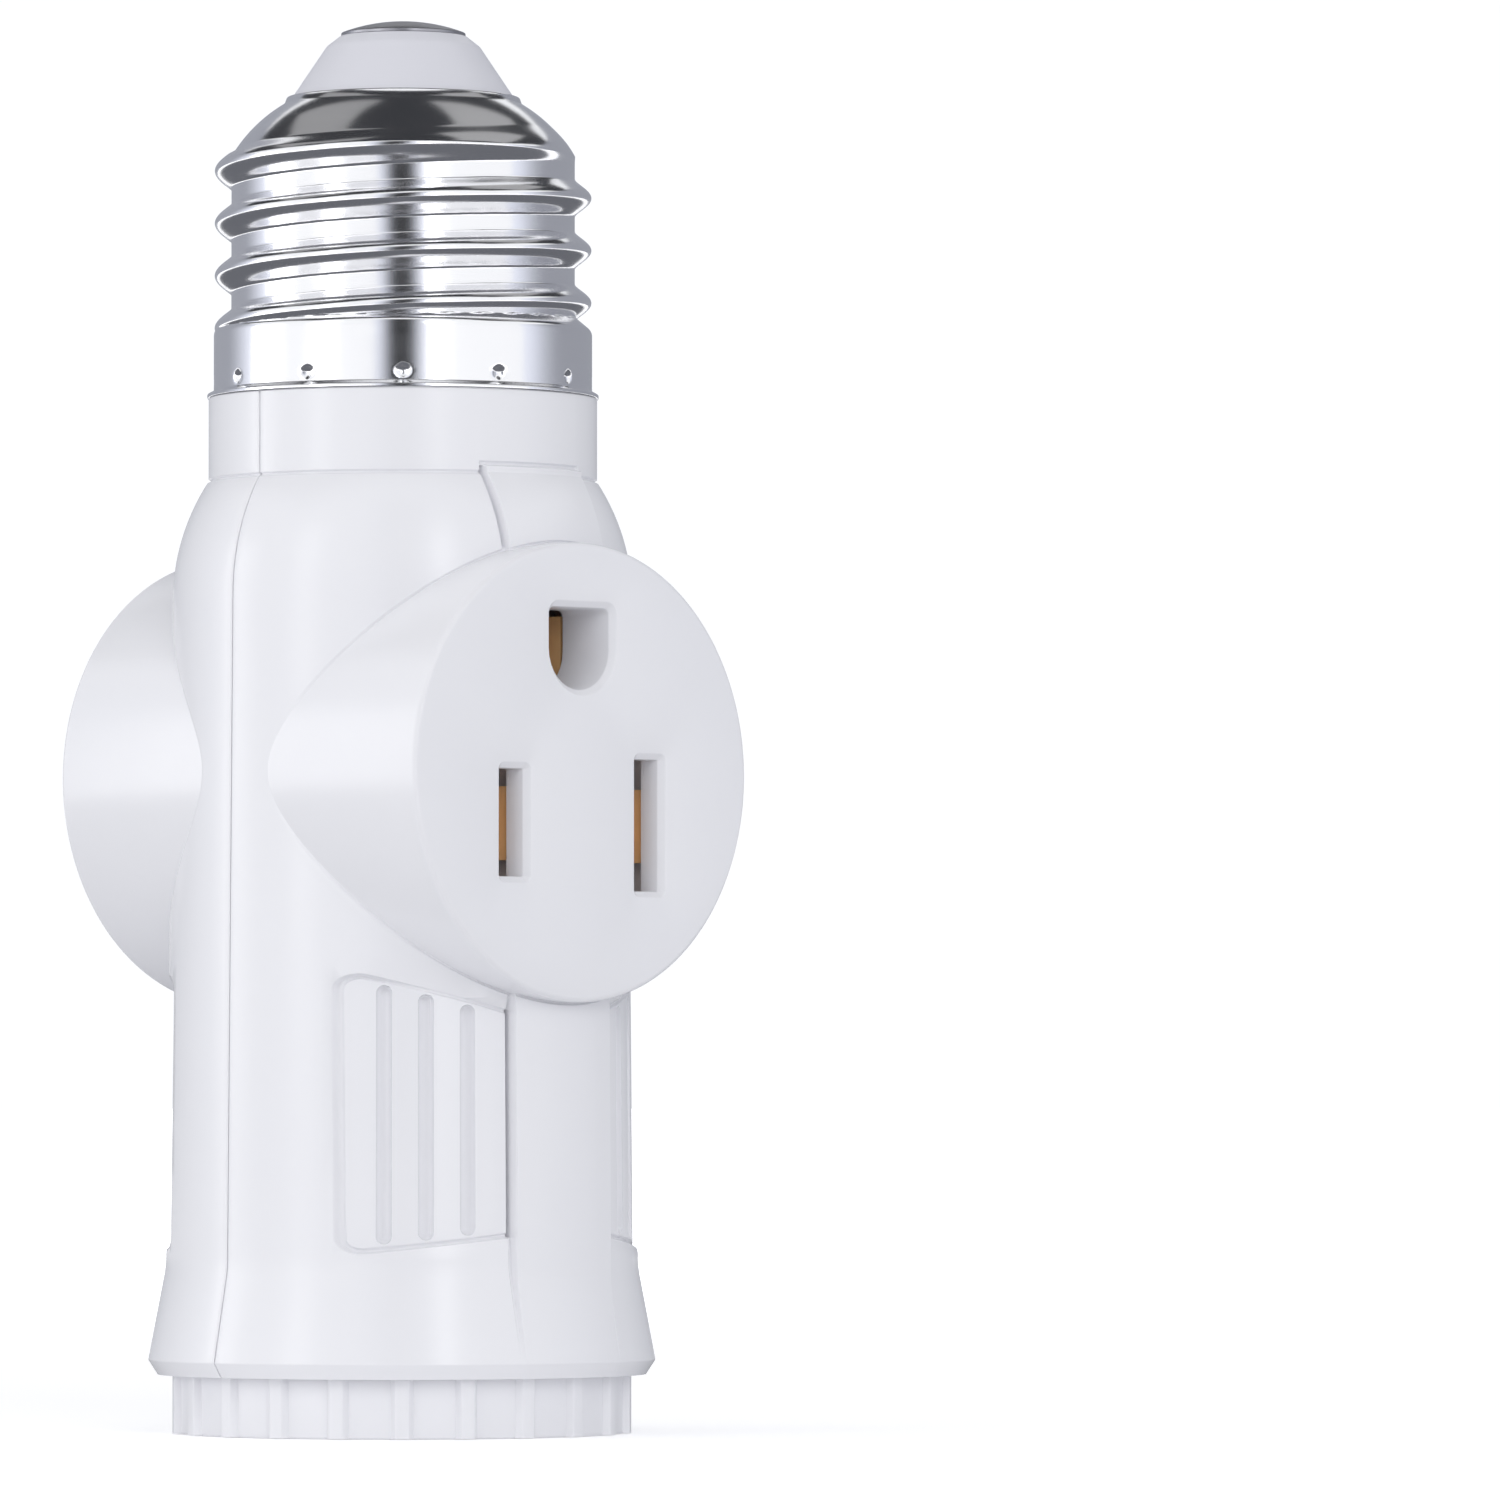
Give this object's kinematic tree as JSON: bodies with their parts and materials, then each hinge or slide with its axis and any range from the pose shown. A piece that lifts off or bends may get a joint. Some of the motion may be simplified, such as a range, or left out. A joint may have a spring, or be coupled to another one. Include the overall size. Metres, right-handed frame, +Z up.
{
  "type": "lamp socket adapter",
  "caption": "Lamp socket adapter with a screw base on top, a threaded lamp socket below and a grounded plug outlet on its front and back.",
  "frame": {"origin": "centre of the lamp socket's lower rim, on the lamp axis", "axes": "+Z up the lamp axis towards the screw base's tip, -Y out of the front outlet, the housing halves part on Y = 0"},
  "size_m": [0.0348, 0.0358, 0.0974],
  "materials": {
    "housing_plastic": "satin white moulding",
    "core_plastic": "satin white moulding",
    "insulator_plastic": "smooth white moulding",
    "plated_shell": "bright nickel plate on rolled sheet",
    "tip_metal": "dull plated contact",
    "socket_metal": "rolled sheet",
    "contact_metal": "copper-coloured spring sheet",
    "rivet_metal": "plated rivet"
  },
  "bodies": {
    "adapter": {"front_housing": "housing_plastic", "rear_housing": "housing_plastic", "socket_core": "core_plastic", "tip_insulator": "insulator_plastic", "screw_shell": "plated_shell", "tip_contact": "tip_metal", "socket_shell": "socket_metal", "contact_tongue": "contact_metal", "tongue_rivet": "rivet_metal", "shell_rivet": "rivet_metal", "front_hot_clip": "contact_metal", "rear_hot_clip": "contact_metal", "front_neutral_clip": "contact_metal", "rear_neutral_clip": "contact_metal", "front_ground_clip": "contact_metal", "rear_ground_clip": "contact_metal", "hot_bus": "contact_metal", "neutral_bus": "contact_metal", "ground_bus": "contact_metal", "hot_link": "contact_metal", "neutral_link": "contact_metal", "hot_strap": "contact_metal", "neutral_strap": "contact_metal"},
    "button": {"contact_button": "contact_metal"}
  },
  "joints": [
    {"name": "contact_press", "type": "slide", "parent": "adapter", "child": "button", "axis": [0, 0, 1], "range_m": [0, 0.0015], "stiffness_N_per_m": 2000, "deforming": ["contact_tongue"]}
  ]
}
